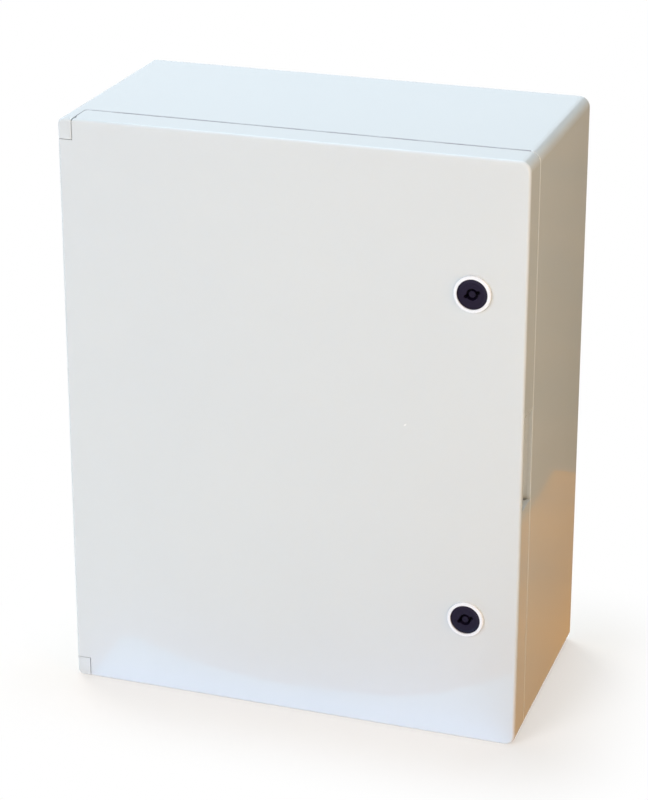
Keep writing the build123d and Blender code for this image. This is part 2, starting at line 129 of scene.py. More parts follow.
def share(name, part, description):
    """Property for a part of a whole, from 0 to 1."""
    return FloatProperty(name=name, description=description, subtype="FACTOR", min=0.0, max=1.0,
                         default=part)


def power(name, watts, description):
    """Power property of a lamp, in watts."""
    return FloatProperty(name=name, description=description, unit="POWER", min=0.0, default=watts)


class CabinetFinish(bpy.types.PropertyGroup):
    """Colours and pattern sizes of the materials"""

    shell: colour("Shell grey", "#DDDFDD", "Moulded shells of the body and the door")
    shell_shade: colour("Shell shade", "#D9DCDC", "Faint clouds of flow in the shells")
    flow: length("Flow clouds", 150.0, "Width of the clouds of flow in the shells")
    peel: length("Orange peel", 5.0, "Width of the faint waves in the moulded faces")
    gloss: length("Gloss patches", 45.0, "Width of the clearer and duller patches of the shells")
    scatter: length("Scatter", 2.0, "How far light spreads inside the shells")
    ring: colour("Lock ring", "#F4F4F5", "White rings round the locks")
    ring_shade: colour("Lock ring shade", "#EFF0F3", "Faint clouds in the rings")
    ring_clouds: length("Ring clouds", 9.0, "Width of the clouds in the rings")
    ring_grain: length("Ring grain", 0.8, "Width of the satin grain of the rings")
    # The violet in the core and fibre colours is partly painted reflection of bluish light
    core: colour("Lock core", "#16111F", "Turning cores of the locks")
    fibre: colour("Fibres", "#241C36", "Fibres that show in the cores")
    fibre_width: length("Fibre width", 0.9, "Width of the fibres in the cores")
    foam: colour("Foam", "#1B1C1E", "Foam seal of the door and flat seals of the locks")
    foam_bloom: colour("Foam bloom", "#2B2C2E", "Paler bloom on the skin of the foam")
    bloom: length("Bloom patches", 6.0, "Width of the paler patches on the foam")
    pore: length("Pore size", 1.2, "Width of the pores in the foam")
    zinc: colour("Zinc", "#C3C6C8", "Plated pins, cams, nuts, washers and screws")
    zinc_tint: colour("Passivation", "#AEB9C6", "Bluish tint of the plating")
    stain: length("Tint patches", 7.0, "Width of the bluish patches of the plating")
    scratch: length("Scratches", 0.7, "Width of the scratches in the plating")
    spangle: colour("Spangle", "#C9CCCE", "Bright crystals of the galvanised plate")
    spangle_shade: colour("Spangle shade", "#B0B5B9", "Dull crystals of the galvanised plate")
    crystal: length("Crystal size", 9.0, "Width of the zinc crystals on the plate")
    frost: length("Frost", 1.5, "Width of the frost on the crystals")
    brass: colour("Brass", "#C6A15A", "Threaded inserts")
    brass_shade: colour("Brass shade", "#B48E48", "Duller bands of the tool rings")
    tool_ring: length("Tool rings", 2.5, "Width of the tool rings on the inserts")


class CabinetShadeAndWear(bpy.types.PropertyGroup):
    """Painted shade in the seam along the top, and a scuff on the shells"""

    # Painted shade: a darker colour in the seam along the top and beside the upper hinge lug
    painted_seam_shade: colour("Painted_shade", "#77717A", "Dust settled in the seam along the top")
    shade_least: share("Thin dust", 0.35, "Cover of the dust where it is thinnest")
    shade_most: share("Thick dust", 0.7, "Cover of the dust where it is thickest")
    mottle: length("Dust drift", 30.0, "Width of the thicker and thinner places in the dust")
    seam_full: length("Full at seam", 1.1, "Distance from the seam up to which dust is full")
    seam_gone: length("Gone at seam", 2.0, "Distance from the seam at which dust is gone")
    seam_stop: length("Seam stop", 8.0, "Distance from the right of the cabinet where dust ends")
    lug_full: length("Full at lug", 0.4, "Distance from the lug's edge up to which dust is full")
    lug_gone: length("Gone at lug", 0.9, "Distance from the lug's edge at which dust is gone")
    lug_run: length("Lug run", 20.0, "Length of the dust beside the lug, forward of the seam")
    top_full: length("Full below top", 1.5, "Depth below the top down to which dust is full")
    top_gone: length("Gone below top", 3.0, "Depth below the top at which dust is gone")
    scuff: colour("Scuff", "#FAFAF7", "Small scuff on the face of the door")
    scuff_across: length("Scuff across", 98.2, "Place of the scuff to the right of the middle")
    scuff_height: length("Scuff height", 273.1, "Place of the scuff above the foot")
    scuff_length: length("Scuff length", 2.6, "Length of the scuff")
    scuff_width: length("Scuff width", 1.0, "Width of the scuff")
    scuff_depth: length("Scuff depth", 1.0, "Depth of the scuff behind the face")
    scuff_slope: angle("Scuff slope", 42.0, "Rise of the scuff to the right")


class CabinetSeal(bpy.types.PropertyGroup):
    """Sizes of the foam seal"""

    width: length("Width", 7.3, "Width of the bead")
    corner: length("Corner radius", 10.75, "Radius of the bead's middle line at its corners")
    section: length("Section spacing", 4.0, "Distance between two sections along the bead")
    wave: length("Wave", 0.07, "Height of the unevenness along the bead")
    wavelength: length("Wavelength", 37.0, "Length of the unevenness along the bead")
    swell: FloatProperty(name="Swell", description="Length of a slower wave, in wavelengths",
                         min=1.0, default=2.7)
    joint: length("Joint", 0.14, "Height of the overlap where the bead starts and ends")
    joint_reach: length("Joint reach", 14.0, "Half length of that overlap")


class CabinetLand(bpy.types.PropertyGroup):
    """Sizes of the land behind the finger notch"""

    face: length("Face", 30.45, "Depth of its face behind the front of the door")
    foot: length("Foot", 35.2, "Depth of its foot, just inside the floor of the gutter")
    outside: length("Outside", 3.4, "Distance of its outer side from the right of the cabinet")
    inside: length("Inside", 17.0, "Distance of its inner side from the right of the cabinet")
    long: length("Length", 97.0, "Length at the foot")
    ramp: length("Ramp", 5.0, "Length of the slope at each end")
    ramp_foot: share("Ramp foot", 0.02, "Height at each end, as a share of the full height")
    edge: length("Edge radius", 0.6, "Radius of its edges")


class CabinetFixings(bpy.types.PropertyGroup):
    """Sizes of the screws and nuts that the outlines of the solids leave out"""

    screw_flats: length("Plate screw flats", 10.0, "Width across the flats of the plate's screws")
    screw_flange: length("Plate screw flange", 13.0, "Diameter of the flange under each head")
    screw_flange_height: length("Flange height", 1.4, "Height of that flange")
    screw_shank: length("Plate screw shank", 6.0, "Diameter of the plate's screws")
    screw_head: length("Plate screw head", 4.5, "Height of the hexagon above the flange")
    cam_flats: length("Cam screw flats", 8.0, "Width across the flats of the cam screws")
    cam_shank: length("Cam screw shank", 5.0, "Diameter of the cam screws")
    cam_head: length("Cam screw head", 3.5, "Height of their heads")
    crown: share("Screw crown", 0.93, "Width of a screw's crown, as a share of its flats")
    dish: length("Dish", 0.2, "Depth of the dish in a screw's crown")
    dish_floor: share("Dish floor", 0.72, "Width of the dish's floor, as a share of the crown")
    dish_rim: share("Dish rim", 0.78, "Width of the dish's rim, as a share of the crown")
    nut_crown: share("Nut crown", 0.96, "Width of a nut's crown, as a share of its flats")
    nut_bore: length("Nut bore", 22.1, "Bore of the lock nuts")
    bore_chamfer: length("Bore chamfer", 0.4, "Chamfer at both ends of that bore")
    chamfer: angle("Chamfer", 30.0, "Slope of the chamfer on hexagon corners")
    steps: IntProperty(name="Steps", description="Points round each fixing", default=96, min=24)


class CabinetStage(bpy.types.PropertyGroup):
    """Camera, floor, cards and lamps"""

    azimuth: angle("Azimuth", 18.585, "Camera's turn to the right of the front")
    elevation: angle("Elevation", 20.006, "Downward tilt of the camera")
    distance: length("Distance", 2098.0, "Depth of the cabinet's middle in front of the camera")
    slide: length("Slide", 3.2, "Camera's place to the left of the line through the middle")
    raise_up: length("Raise", 74.8, "Camera's place above the line through the middle")
    lens: FloatProperty(name="Lens", description="Focal length", subtype="DISTANCE_CAMERA",
                        default=111.57)
    shift: FloatProperty(name="Shift", description="Vertical shift of the frame", default=-0.12)
    floor: colour("Floor", "#FBF4EC", "Plain pale floor")
    bounce: colour("Bounce floor", "#F7F7F7", "Floor that throws light back on the cabinet")
    fade: length("Fade", 120.0, "Distance from the cabinet at which the floor is plain white")
    fade_start: share("Fade start", 0.45, "White in the floor at the foot of the cabinet")
    ambient: colour("Ambient", "#D2D8DE", "Light of the room on every side")
    ambient_level: share("Ambient level", 0.3, "Strength of that light on the cabinet")
    key: colour("Key lamp", "#EFF4FF", "Softbox at the front left")
    key_power: power("Key power", 73.5, "Power of the key lamp")
    top: colour("Top lamp", "#D0EBFF", "Softbox above")
    top_power: power("Top power", 31.5, "Power of the top lamp")
    back: colour("Back lamp", "#FFFBF4", "Softbox at the back left")
    back_power: power("Back power", 42.0, "Power of the back lamp")
    side: colour("Side lamp", "#FFDAA6", "Warm softbox at the right")
    side_power: power("Side power", 11.5, "Power of the side lamp")
    fill: colour("Fill lamp", "#FFEBD2", "Weak softbox at the front right")
    fill_power: power("Fill power", 20.0, "Power of the fill lamp")
    front_card: colour("Front card", "#94918D", "Card mirrored in the face of the door")
    sill_card: colour("Sill card", "#93DCFF", "Cool card mirrored along the foot of the door")
    sill_glow: colour("Sill glow", "#D4E0FF", "Cool light thrown up on the foot of the door")
    side_card: colour("Side card", "#8F7F68", "Card mirrored high in the right side")
    side_shade: colour("Side shade", "#7C7564", "Darker clouds of that card")
    foot_card: colour("Foot card", "#D6984B", "Card mirrored low in the right side")
    foot_shade: colour("Foot shade", "#BC8A52", "Darker clouds of that card")
    card_clouds: length("Card clouds", 140.0, "Width of the clouds on the cards")


# Materials

def blank(name):
    """Material with an empty node tree, and the tree."""
    material = bpy.data.materials.new(name)
    material.use_nodes = True
    material.node_tree.nodes.clear()
    return material, material.node_tree


def add(tree, kind, inputs=None, **settings):
    """Add one shader node: settings are its properties, inputs its sockets as values or links."""
    node = tree.nodes.new("ShaderNode" + kind)
    for key, value in settings.items():
        setattr(node, key, value)
    for key, value in (inputs or {}).items():
        if isinstance(value, bpy.types.NodeSocket):
            tree.links.new(value, node.inputs[key])
        else:
            node.inputs[key].default_value = value
    return node


def painted_shade_cover(tree, place, shade_and_wear):
    """Cover of painted shade: full on two lines, gone a little beside them, and only near the top.

    One line is the seam, from the upper hinge lug to a stop short of the right corner. The other
    runs forward from the seam along the edge of that lug. A darker colour there stands in for the
    shadow in those gaps, and slow noise weakens it in places.
    """
    spot = add(tree, "SeparateXYZ", {0: place})
    behind = add(tree, "Math", {0: spot.outputs["Y"], 1: SEAM}, operation="SUBTRACT")
    beside = add(tree, "Math", {0: spot.outputs["X"], 1: LUG_EDGE}, operation="SUBTRACT")
    stop = CAD_BOX[1].x - shade_and_wear.seam_stop
    lines = (
        (behind, shade_and_wear.seam_full, shade_and_wear.seam_gone, spot.outputs["X"], LUG_EDGE, stop),
        (beside, shade_and_wear.lug_full, shade_and_wear.lug_gone, behind.outputs[0], -shade_and_wear.lug_run, 0.0),
    )
    covers = []
    for away, full, gone, along, start, end in lines:
        gap = add(tree, "Math", {0: away.outputs[0]}, operation="ABSOLUTE")
        near = add(tree, "MapRange", {"Value": gap.outputs[0], "From Min": full, "From Max": gone,
                                      "To Min": 1.0, "To Max": 0.0})
        within = add(tree, "Math", {0: along, 1: (start + end) / 2, 2: (end - start) / 2},
                     operation="COMPARE")
        cover = add(tree, "Math", {0: near.outputs[0], 1: within.outputs[0]}, operation="MULTIPLY")
        covers.append(cover.outputs[0])
    either = add(tree, "Math", {0: covers[0], 1: covers[1]}, operation="MAXIMUM")
    top = CAD_BOX[1].z
    above = add(tree, "MapRange", {"Value": spot.outputs["Z"], "From Min": top - shade_and_wear.top_gone,
                                   "From Max": top - shade_and_wear.top_full})
    mottle = add(tree, "TexNoise", {"Vector": place, "Scale": 1.0 / shade_and_wear.mottle, "Detail": 3.0})
    thick = add(tree, "MapRange", {"Value": mottle.outputs["Fac"], "From Min": 0.3, "From Max": 0.6,
                                   "To Min": shade_and_wear.shade_least, "To Max": shade_and_wear.shade_most})
    shaded = add(tree, "Math", {0: either.outputs[0], 1: above.outputs[0]}, operation="MULTIPLY")
    return add(tree, "Math", {0: shaded.outputs[0], 1: thick.outputs[0]},
               operation="MULTIPLY").outputs[0]


def rubbed_scuff(tree, place, shade_and_wear):
    """Cover of the scuff at a place: an ellipse that rises to the right, with a soft edge."""
    spot = add(tree, "Mapping", {
        "Vector": place, "Location": (shade_and_wear.scuff_across, FRONT, shade_and_wear.scuff_height),
        "Rotation": (0.0, -shade_and_wear.scuff_slope, 0.0),
        "Scale": (shade_and_wear.scuff_length / 2, shade_and_wear.scuff_depth, shade_and_wear.scuff_width / 2),
    }, vector_type="TEXTURE")
    reach = add(tree, "VectorMath", {0: spot.outputs[0]}, operation="LENGTH")
    return add(tree, "MapRange", {"Value": reach.outputs["Value"], "From Min": 0.7, "From Max": 1.2,
                                  "To Min": 1.0, "To Max": 0.0}).outputs[0]


def moulded_abs(finish, shade_and_wear):
    """Injection-moulded ABS from a polished mould.

    It gives the eye clear reflections, broken a little by orange peel, and faint clouds of flow.
    Light spreads a little inside it, which softens the shade in narrow gaps. Shade is painted
    in the seam along the top and by the upper hinge lug; the door's face has one small scuff.
    """
    material, tree = blank("Moulded_light_grey_ABS")
    place = add(tree, "TexCoord").outputs["Object"]
    clouds = add(tree, "TexNoise", {"Vector": place, "Scale": 1.0 / finish.flow, "Detail": 3.0})
    tint = add(tree, "Mix", {0: clouds.outputs["Fac"], 6: finish.shell[:],
                             7: finish.shell_shade[:]}, data_type="RGBA")
    # Painted shade: darker colour in the seam along the top and beside the upper hinge lug
    tint = add(tree, "Mix", {0: painted_shade_cover(tree, place, shade_and_wear), 6: tint.outputs[2],
                             7: shade_and_wear.painted_seam_shade[:]}, data_type="RGBA")
    tint = add(tree, "Mix", {0: rubbed_scuff(tree, place, shade_and_wear), 6: tint.outputs[2],
                             7: shade_and_wear.scuff[:]}, data_type="RGBA")
    # Orange peel is finer on the real shell and is drawn coarser, or it would not show
    peel = add(tree, "TexNoise", {"Vector": place, "Scale": 1.0 / finish.peel, "Detail": 1.0})
    gloss = add(tree, "TexNoise", {"Vector": place, "Scale": 1.0 / finish.gloss, "Detail": 4.0})
    rough = add(tree, "MapRange", {"Value": gloss.outputs["Fac"], "To Min": 0.03, "To Max": 0.07})
    bump = add(tree, "Bump", {"Height": peel.outputs["Fac"], "Distance": 0.012 * MM})
    shader = add(tree, "BsdfPrincipled", {
        "Base Color": tint.outputs[2], "IOR": 1.53, "Subsurface Weight": 0.4,
        "Subsurface Radius": (1.0, 1.0, 1.0), "Subsurface Scale": finish.scatter,
        "Roughness": rough.outputs[0], "Normal": bump.outputs[0]})
    add(tree, "OutputMaterial", {"Surface": shader.outputs[0]})
    return material


def white_nylon(finish):
    """Moulded white nylon: a little softer gloss than the shells, with a fine satin grain."""
    material, tree = blank("Moulded_white_nylon")
    place = add(tree, "TexCoord").outputs["Object"]
    # The grain is finer on the real ring and is drawn coarser, or it would not show
    grain = add(tree, "TexNoise", {"Vector": place, "Scale": 1.0 / finish.ring_grain,
                                   "Detail": 2.0})
    rough = add(tree, "MapRange", {"Value": grain.outputs["Fac"], "To Min": 0.2, "To Max": 0.34})
    clouds = add(tree, "TexNoise", {"Vector": place, "Scale": 1.0 / finish.ring_clouds})
    tint = add(tree, "Mix", {0: clouds.outputs["Fac"], 6: finish.ring[:],
                             7: finish.ring_shade[:]}, data_type="RGBA")
    bump = add(tree, "Bump", {"Height": grain.outputs["Fac"], "Distance": 0.006 * MM})
    shader = add(tree, "BsdfPrincipled", {
        "Base Color": tint.outputs[2], "IOR": 1.53, "Roughness": rough.outputs[0],
        "Normal": bump.outputs[0]})
    add(tree, "OutputMaterial", {"Surface": shader.outputs[0]})
    return material


def black_nylon(finish):
    """Moulded glass-filled nylon: near black with a violet cast, satin, with short pale fibres.

    The violet cast is partly the nylon's own tint and partly painted reflection of bluish light.
    """
    material, tree = blank("Moulded_black_glass_filled_nylon")
    place = add(tree, "TexCoord").outputs["Object"]
    # Fibres are finer on the real core and are drawn coarser, or they would not show
    fibres = add(tree, "TexNoise", {"Vector": place, "Scale": 1.0 / finish.fibre_width,
                                    "Detail": 4.0})
    tint = add(tree, "Mix", {0: fibres.outputs["Fac"], 6: finish.core[:], 7: finish.fibre[:]},
               data_type="RGBA")
    rough = add(tree, "MapRange", {"Value": fibres.outputs["Fac"], "To Min": 0.3, "To Max": 0.5})
    bump = add(tree, "Bump", {"Height": fibres.outputs["Fac"], "Distance": 0.02 * MM})
    shader = add(tree, "BsdfPrincipled", {
        "Base Color": tint.outputs[2], "IOR": 1.56, "Specular IOR Level": 0.22,
        "Roughness": rough.outputs[0], "Normal": bump.outputs[0]})
    add(tree, "OutputMaterial", {"Surface": shader.outputs[0]})
    return material


def foam(finish):
    """Foamed polyurethane: matt black skin with a paler bloom, pitted with open pores."""
    material, tree = blank("Foamed_black_polyurethane")
    place = add(tree, "TexCoord").outputs["Object"]
    # Pores are finer in the real foam and are drawn coarser, or they would not show
    pores = add(tree, "TexVoronoi", {"Vector": place, "Scale": 1.0 / finish.pore})
    bloom = add(tree, "TexNoise", {"Vector": place, "Scale": 1.0 / finish.bloom, "Detail": 3.0})
    tint = add(tree, "Mix", {0: bloom.outputs["Fac"], 6: finish.foam[:], 7: finish.foam_bloom[:]},
               data_type="RGBA")
    rough = add(tree, "MapRange", {"Value": pores.outputs["Distance"], "To Min": 0.95,
                                   "To Max": 0.75})
    bump = add(tree, "Bump", {"Height": pores.outputs["Distance"], "Distance": 0.25 * MM})
    shader = add(tree, "BsdfPrincipled", {
        "Base Color": tint.outputs[2], "Roughness": rough.outputs[0], "Normal": bump.outputs[0]})
    add(tree, "OutputMaterial", {"Surface": shader.outputs[0]})
    return material


def zinc_plate(finish):
    """Zinc-plated steel: bright grey metal with a bluish passivation and fine rolling scratches."""
    material, tree = blank("Zinc_plated_steel")
    place = add(tree, "TexCoord").outputs["Object"]
    stain = add(tree, "TexNoise", {"Vector": place, "Scale": 1.0 / finish.stain, "Detail": 2.0})
    tint = add(tree, "Mix", {0: stain.outputs["Fac"], 6: finish.zinc[:], 7: finish.zinc_tint[:]},
               data_type="RGBA")
    # Scratches are finer on the real plating and are drawn coarser, or they would not show
    scratch = add(tree, "TexNoise", {"Vector": place, "Scale": 1.0 / finish.scratch, "Detail": 5.0})
    rough = add(tree, "MapRange", {"Value": scratch.outputs["Fac"], "To Min": 0.22, "To Max": 0.42})
    bump = add(tree, "Bump", {"Height": scratch.outputs["Fac"], "Distance": 0.01 * MM})
    shader = add(tree, "BsdfPrincipled", {
        "Base Color": tint.outputs[2], "Metallic": 1.0, "Roughness": rough.outputs[0],
        "Normal": bump.outputs[0]})
    add(tree, "OutputMaterial", {"Surface": shader.outputs[0]})
    return material


def galvanised(finish):
    """Hot-dip galvanised sheet: a patchwork of zinc crystals, each with its own shade and gloss."""
    material, tree = blank("Galvanised_sheet_steel")
    place = add(tree, "TexCoord").outputs["Object"]
    cells = add(tree, "TexVoronoi", {"Vector": place, "Scale": 1.0 / finish.crystal})
    shade = add(tree, "SeparateColor", {0: cells.outputs["Color"]})
    tint = add(tree, "Mix", {0: shade.outputs[0], 6: finish.spangle[:],
                             7: finish.spangle_shade[:]}, data_type="RGBA")
    rough = add(tree, "MapRange", {"Value": shade.outputs[1], "To Min": 0.34, "To Max": 0.5})
    # Frost is finer on the real crystals and is drawn coarser, or it would not show
    frost = add(tree, "TexNoise", {"Vector": place, "Scale": 1.0 / finish.frost, "Detail": 4.0})
    bump = add(tree, "Bump", {"Height": frost.outputs["Fac"], "Distance": 0.015 * MM})
    shader = add(tree, "BsdfPrincipled", {
        "Base Color": tint.outputs[2], "Metallic": 1.0, "Roughness": rough.outputs[0],
        "Normal": bump.outputs[0]})
    add(tree, "OutputMaterial", {"Surface": shader.outputs[0]})
    return material


def turned_brass(finish):
    """Turned brass: yellow metal with fine tool rings."""
    material, tree = blank("Turned_brass")
    place = add(tree, "TexCoord").outputs["Object"]
    # Tool rings are finer on the real inserts and are drawn coarser, or they would not show
    rings = add(tree, "TexWave", {"Vector": place, "Scale": 1.0 / finish.tool_ring,
                                  "Distortion": 0.4}, bands_direction="Y")
    tint = add(tree, "Mix", {0: rings.outputs["Fac"], 6: finish.brass[:],
                             7: finish.brass_shade[:]}, data_type="RGBA")
    rough = add(tree, "MapRange", {"Value": rings.outputs["Fac"], "To Min": 0.22, "To Max": 0.36})
    bump = add(tree, "Bump", {"Height": rings.outputs["Fac"], "Distance": 0.02 * MM})
    shader = add(tree, "BsdfPrincipled", {
        "Base Color": tint.outputs[2], "Metallic": 1.0, "Roughness": rough.outputs[0],
        "Normal": bump.outputs[0]})
    add(tree, "OutputMaterial", {"Surface": shader.outputs[0]})
    return material


def dress(material, *names):
    """Give CAD nodes one material."""
    for name in names:
        NODES[name].data.materials.clear()
        NODES[name].data.materials.append(material)


def both(*pieces):
    """Names of like pieces at the upper and the lower lock or hinge."""
    return [f"{end}_{piece}" for end in ENDS for piece in pieces]


# Shapes

def grid_piece(name, patches, material, body, slot, *stands_for):
    """One closed mesh from grids of points, each (rows, columns, 3): a cell is one face.

    The columns run round and close on themselves; rows that shrink to a point are poles.
    """
    vertices, faces, start = [], [], 0
    for points in patches:
        rows, columns = points.shape[:2]
        number = start + np.arange(rows * columns).reshape(rows, columns)
        around = np.roll(number, -1, axis=1)
        cells = np.stack([number[:-1], around[:-1], around[1:], number[1:]], axis=-1)
        vertices.append(points.reshape(-1, 3))
        faces.append(cells.reshape(-1, 4))
        start += rows * columns
    mesh = bpy.data.meshes.new(name)
    mesh.from_pydata(np.concatenate(vertices).tolist(), [], np.concatenate(faces).tolist())
    shell = bmesh.new()
    shell.from_mesh(mesh)
    bmesh.ops.remove_doubles(shell, verts=shell.verts, dist=MERGE)
    bmesh.ops.recalc_face_normals(shell, faces=shell.faces)
    shell.to_mesh(mesh)
    shell.free()
    mesh.shade_smooth()
    mesh.set_sharp_from_angle(angle=SHARP)
    mesh.materials.append(material)
    piece = bpy.data.objects.new(name, mesh)
    bpy.context.scene.collection.objects.link(piece)
    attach(piece, body)
    if stands_for:
        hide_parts(*stands_for)


def rounded_rectangle(half, radius, steps):
    """Outline of a rectangle with rounded corners, and the outward direction at its points.

    In each quarter a point is sign * (half size - radius) + radius * (cos a, sin a).
    """
    turn = np.radians(np.concatenate([np.linspace(90 * q, 90 * q + 90, steps) for q in range(4)]))
    signs = np.repeat([[1, 1], [-1, 1], [-1, -1], [1, -1]], steps, axis=0)
    facing = np.stack([np.cos(turn), np.sin(turn)], axis=-1)
    return signs * (half - radius) + radius * facing, facing


def around_axis(centre, rings, steps):
    """Points of a body round an axis along -Y, from the radius and height of each of its rings.

    A point is the centre + radius * (cos a, 0, sin a) + height * (0, -1, 0). A radius or height
    is one number, or one for each angle.
    """
    turn = np.linspace(0, 2 * math.pi, steps, endpoint=False)
    radius = np.array([np.broadcast_to(r, steps) for r, h in rings])
    height = np.array([np.broadcast_to(h, steps) for r, h in rings])
    across = np.stack([radius * np.cos(turn), -height, radius * np.sin(turn)], axis=-1)
    return np.asarray(centre) + across


def hexagon(flats, steps):
    """Radius of a hexagon at each angle: half its flats / cos(angle from the middle of a flat)."""
    turn = np.linspace(0, 2 * math.pi, steps, endpoint=False)
    return flats / 2 / np.cos((turn + math.pi / 6) % (math.pi / 3) - math.pi / 6)


def hexagon_head(fixings, flats, top, foot):
    """Rings of a dished hexagon head from the middle of its crown to its foot.

    The crown is a disc inside the flats; from there a cone falls to the corners:
    height = top - (radius - crown radius) * tan(chamfer).
    """
    side = hexagon(flats, fixings.steps)
    crown = fixings.crown * flats / 2
    edge = top - (side - crown) * math.tan(fixings.chamfer)
    sunk = top - fixings.dish
    return [(0.0, sunk), (fixings.dish_floor * crown, sunk), (fixings.dish_rim * crown, top),
            (crown, top), (side, edge), (side, foot)]


# Pieces

class CABINET_OT_shells(bpy.types.Operator):
    """Finish the moulded body and door"""

    bl_idname = "cabinet.shells"
    bl_label = "Finish Shells"

    def execute(self, context):
        scene = context.scene
        dress(moulded_abs(scene.cabinet_finish, scene.cabinet_wear), "enclosure_body", "door")
        return {"FINISHED"}


class CABINET_OT_locks(bpy.types.Operator):
    """Finish the rings, cores and flat seals of the locks"""

    bl_idname = "cabinet.locks"
    bl_label = "Finish Locks"

    def execute(self, context):
        finish = context.scene.cabinet_finish
        dress(white_nylon(finish), *both("lock_housing"))
        dress(black_nylon(finish), *both("lock_core"))
        dress(foam(finish), *both("lock_seal"))
        return {"FINISHED"}


class CABINET_OT_metal(bpy.types.Operator):
    """Finish the pins, cams, washers, plate and inserts"""

    bl_idname = "cabinet.metal"
    bl_label = "Finish Metal"

    def execute(self, context):
        finish = context.scene.cabinet_finish
        dress(zinc_plate(finish), *both("hinge_pin", "stop_pin", "lock_cam", "cam_washer"))
        dress(galvanised(finish), "mounting_plate")
        dress(turned_brass(finish), "threaded_inserts")
        return {"FINISHED"}


class CABINET_OT_seal(bpy.types.Operator):
    """Lay the foam bead in the channel of the door"""

    bl_idname = "cabinet.seal"
    bl_label = "Lay Foam Seal"

    def execute(self, context):
        seal = context.scene.cabinet_seal
        low, high = (np.array(corner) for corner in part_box("door_gasket"))
        middle = (low + high) / 2
        half = (high - low)[[0, 2]] / 2 - seal.width / 2
        # Middle line: a rectangle with rounded corners, read off at equal steps of its length
        outline = rounded_rectangle(half, seal.corner, SEAL_CORNER_STEPS)
        line, facing = (np.concatenate([a, a[:1]]) for a in outline)
        run = np.concatenate([[0], np.cumsum(np.linalg.norm(np.diff(line, axis=0), axis=1))])
        along = np.linspace(0, run[-1], round(run[-1] / seal.section), endpoint=False)
        line, facing = (np.stack([np.interp(along, run, a[:, k]) for k in (0, 1)], axis=-1)
                        for a in (line, facing))
        facing /= np.linalg.norm(facing, axis=1, keepdims=True)
        # Section: a dome over a flat foot; height = (1 - |across| ^ 3) ^ 0.5 of the bead's height
        across = np.cos(np.linspace(0, math.pi, DOME_STEPS))
        dome = np.sqrt(1 - np.abs(across) ** 3)
        # The height waves gently along the bead, the sum of a quick sine and a slow one, and swells
        # by joint * exp(-(distance / reach) ^ 2) where the bead starts and ends, low in the middle
        phase = 2 * math.pi * along / seal.wavelength
        waves = np.sin(phase) + np.sin(phase / seal.swell)
        start = np.linalg.norm(line - np.array([0.0, -half[1]]), axis=1)
        overlap = seal.joint * np.exp(-(start / seal.joint_reach) ** 2)
        tall = (high[1] - low[1]) + seal.wave * waves / 2 - seal.wave + overlap
        depth = low[1] + dome[:, None] * tall[None, :]
        spread = line[None] + across[:, None, None] * facing[None] * seal.width / 2
        points = np.stack([middle[0] + spread[..., 0], depth, middle[2] + spread[..., 1]], axis=-1)
        closed = np.concatenate([points, points[:1]])
        grid_piece("foam_seal", [closed], foam(context.scene.cabinet_finish), "door_assembly",
                   "foam_seal", "door_gasket")
        return {"FINISHED"}


class CABINET_OT_notch_land(bpy.types.Operator):
    """Raise the floor of the body's gutter to the rim behind the finger notch"""

    bl_idname = "cabinet.notch_land"
    bl_label = "Make Notch Land"

    def execute(self, context):
        land = context.scene.cabinet_land
        low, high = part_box("enclosure_body")
        # Section: a rectangle with rounded corners, across the gutter and in depth
        half = np.array([land.inside - land.outside, land.foot - land.face]) / 2
        section = rounded_rectangle(half, land.edge, LAND_CORNER_STEPS)[0]
        # Sections stand along Z: the height rises from the foot over each ramp, and a point ends it
        rise = np.array([land.ramp_foot, 1.0, 1.0, land.ramp_foot])[:, None]
        along = np.array([0.0, land.ramp, land.long - land.ramp, land.long]) - land.long / 2
        across = high.x - (land.inside + land.outside) / 2 + section[None, :, 0]
        depth = FRONT + land.foot - (half[1] - section[None, :, 1]) * rise
        level = (low.z + high.z) / 2 + along[:, None]
        points = np.stack(np.broadcast_arrays(across, depth, level), axis=-1)
        ends = np.broadcast_to(points[[0, -1]].mean(axis=1, keepdims=True), (2, *points.shape[1:]))
        points = np.concatenate([ends[:1], points, ends[1:]])
        grid_piece("notch_land", [points], NODES["enclosure_body"].data.materials[0], "cabinet",
                   "grey_shell")
        return {"FINISHED"}


class CABINET_OT_plate_screws(bpy.types.Operator):
    """Make the four hexagon flange screws of the mounting plate"""

    bl_idname = "cabinet.plate_screws"
    bl_label = "Make Plate Screws"

    def execute(self, context):
        fixings = context.scene.cabinet_fixings
        low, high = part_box("plate_screws")
        rim = fixings.screw_flange / 2
        shank = fixings.screw_shank / 2
        top = fixings.screw_head + fixings.screw_flange_height
        seat = low.y + top
        tip = seat - high.y
        rings = hexagon_head(fixings, fixings.screw_flats, top, fixings.screw_flange_height)
        rings += [(rim + out * MM, up * MM) for out, up in FLANGE_LIP]
        rings += [(shank, 0.0), (shank, tip), (0.0, tip)]
        screws = [around_axis((x, seat, z), rings, fixings.steps)
                  for x in (low.x + rim, high.x - rim) for z in (low.z + rim, high.z - rim)]
        grid_piece("flange_screws", screws, zinc_plate(context.scene.cabinet_finish), "cabinet",
                   "zinc_steel", "plate_screws")
        return {"FINISHED"}


